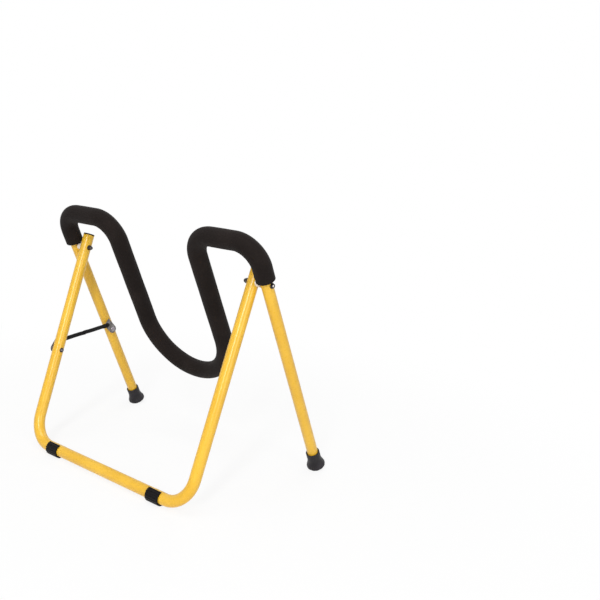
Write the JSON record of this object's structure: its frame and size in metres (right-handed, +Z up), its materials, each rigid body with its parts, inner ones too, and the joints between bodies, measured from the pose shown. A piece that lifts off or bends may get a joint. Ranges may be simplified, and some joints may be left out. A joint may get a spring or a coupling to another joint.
{
  "type": "folding paddleboard stand",
  "caption": "Folding X-frame floor stand of bent steel tube that holds a paddleboard in a foam-padded U cradle, with a hinged side stay and rubber feet.",
  "frame": {"origin": "on the floor, under the middle of the open stand's bounding box", "axes": "+Z up from the floor, +X to the stand's right along the pivot axis and the bottom bar, +Y from the bottom bar towards the rubber feet"},
  "size_m": [0.6616, 0.4087, 0.5678],
  "materials": {
    "base_tube": "gloss yellow powder coat on round steel tube",
    "saddle_tube": "gloss yellow powder coat on round steel tube",
    "foam_sleeve": "matte black closed-cell foam",
    "rubber_feet": "satin dark grey moulded rubber",
    "floor_clips": "black moulded plastic with ribs along the tube",
    "end_plugs": "black moulded plastic",
    "pivot_hardware": "plated steel, bright at the bolt's end and dark on its head's rim, the washers and the nut",
    "pivot_spacers": "off-white natural nylon",
    "stay_brackets": "grey zinc plate",
    "stay_fasteners": "grey plated steel, dark on the rolled tails",
    "stay_links": "semi-gloss black coated steel strip"
  },
  "bodies": {
    "base_frame": {"base_tube": "base_tube", "end_plug_left": "end_plugs", "end_plug_right": "end_plugs", "floor_clip_left": "floor_clips", "floor_clip_right": "floor_clips", "pivot_bolt_left": "pivot_hardware", "pivot_bolt_right": "pivot_hardware", "pivot_inner_washer_left": "pivot_hardware", "pivot_inner_washer_right": "pivot_hardware", "pivot_outer_washer_left": "pivot_hardware", "pivot_outer_washer_right": "pivot_hardware", "pivot_cap_nut_left": "pivot_hardware", "pivot_cap_nut_right": "pivot_hardware", "pivot_spacer_left": "pivot_spacers", "pivot_spacer_right": "pivot_spacers", "stay_bracket_front": "stay_brackets", "stay_anchor_front": "stay_fasteners", "stay_rivet_front": "stay_brackets"},
    "saddle_frame": {"saddle_tube": "saddle_tube", "foam_sleeve": "foam_sleeve", "rubber_foot_left": "rubber_feet", "rubber_foot_right": "rubber_feet", "stay_bracket_rear": "stay_brackets", "stay_anchor_rear": "stay_fasteners", "stay_rivet_rear": "stay_brackets"},
    "front_link": {"stay_link_front": "stay_links", "elbow_rivet_front": "stay_links"},
    "rear_link": {"stay_link_rear": "stay_links", "elbow_rivet_rear": "stay_links"}
  },
  "joints": [
    {"name": "fold", "type": "hinge", "parent": "base_frame", "child": "saddle_frame", "pos_m": [0, -0.03367, 0.46342], "axis": [-1, 0, 0], "range_deg": [0, 43.7]},
    {"name": "front_link_swing", "type": "hinge", "parent": "base_frame", "child": "front_link", "pos_m": [-0.2801, -0.09928, 0.23841], "axis": [1, 0, 0], "range_deg": [0, 75.5]},
    {"name": "rear_link_swing", "type": "hinge", "parent": "saddle_frame", "child": "rear_link", "pos_m": [-0.2801, 0.05741, 0.24746], "axis": [-1, 0, 0], "range_deg": [0, 75.5]}
  ],
  "couplings": [
    {"joint": "front_link_swing", "follows": "fold", "ratio": 1.7162},
    {"joint": "rear_link_swing", "follows": "fold", "ratio": 1.7162}
  ]
}
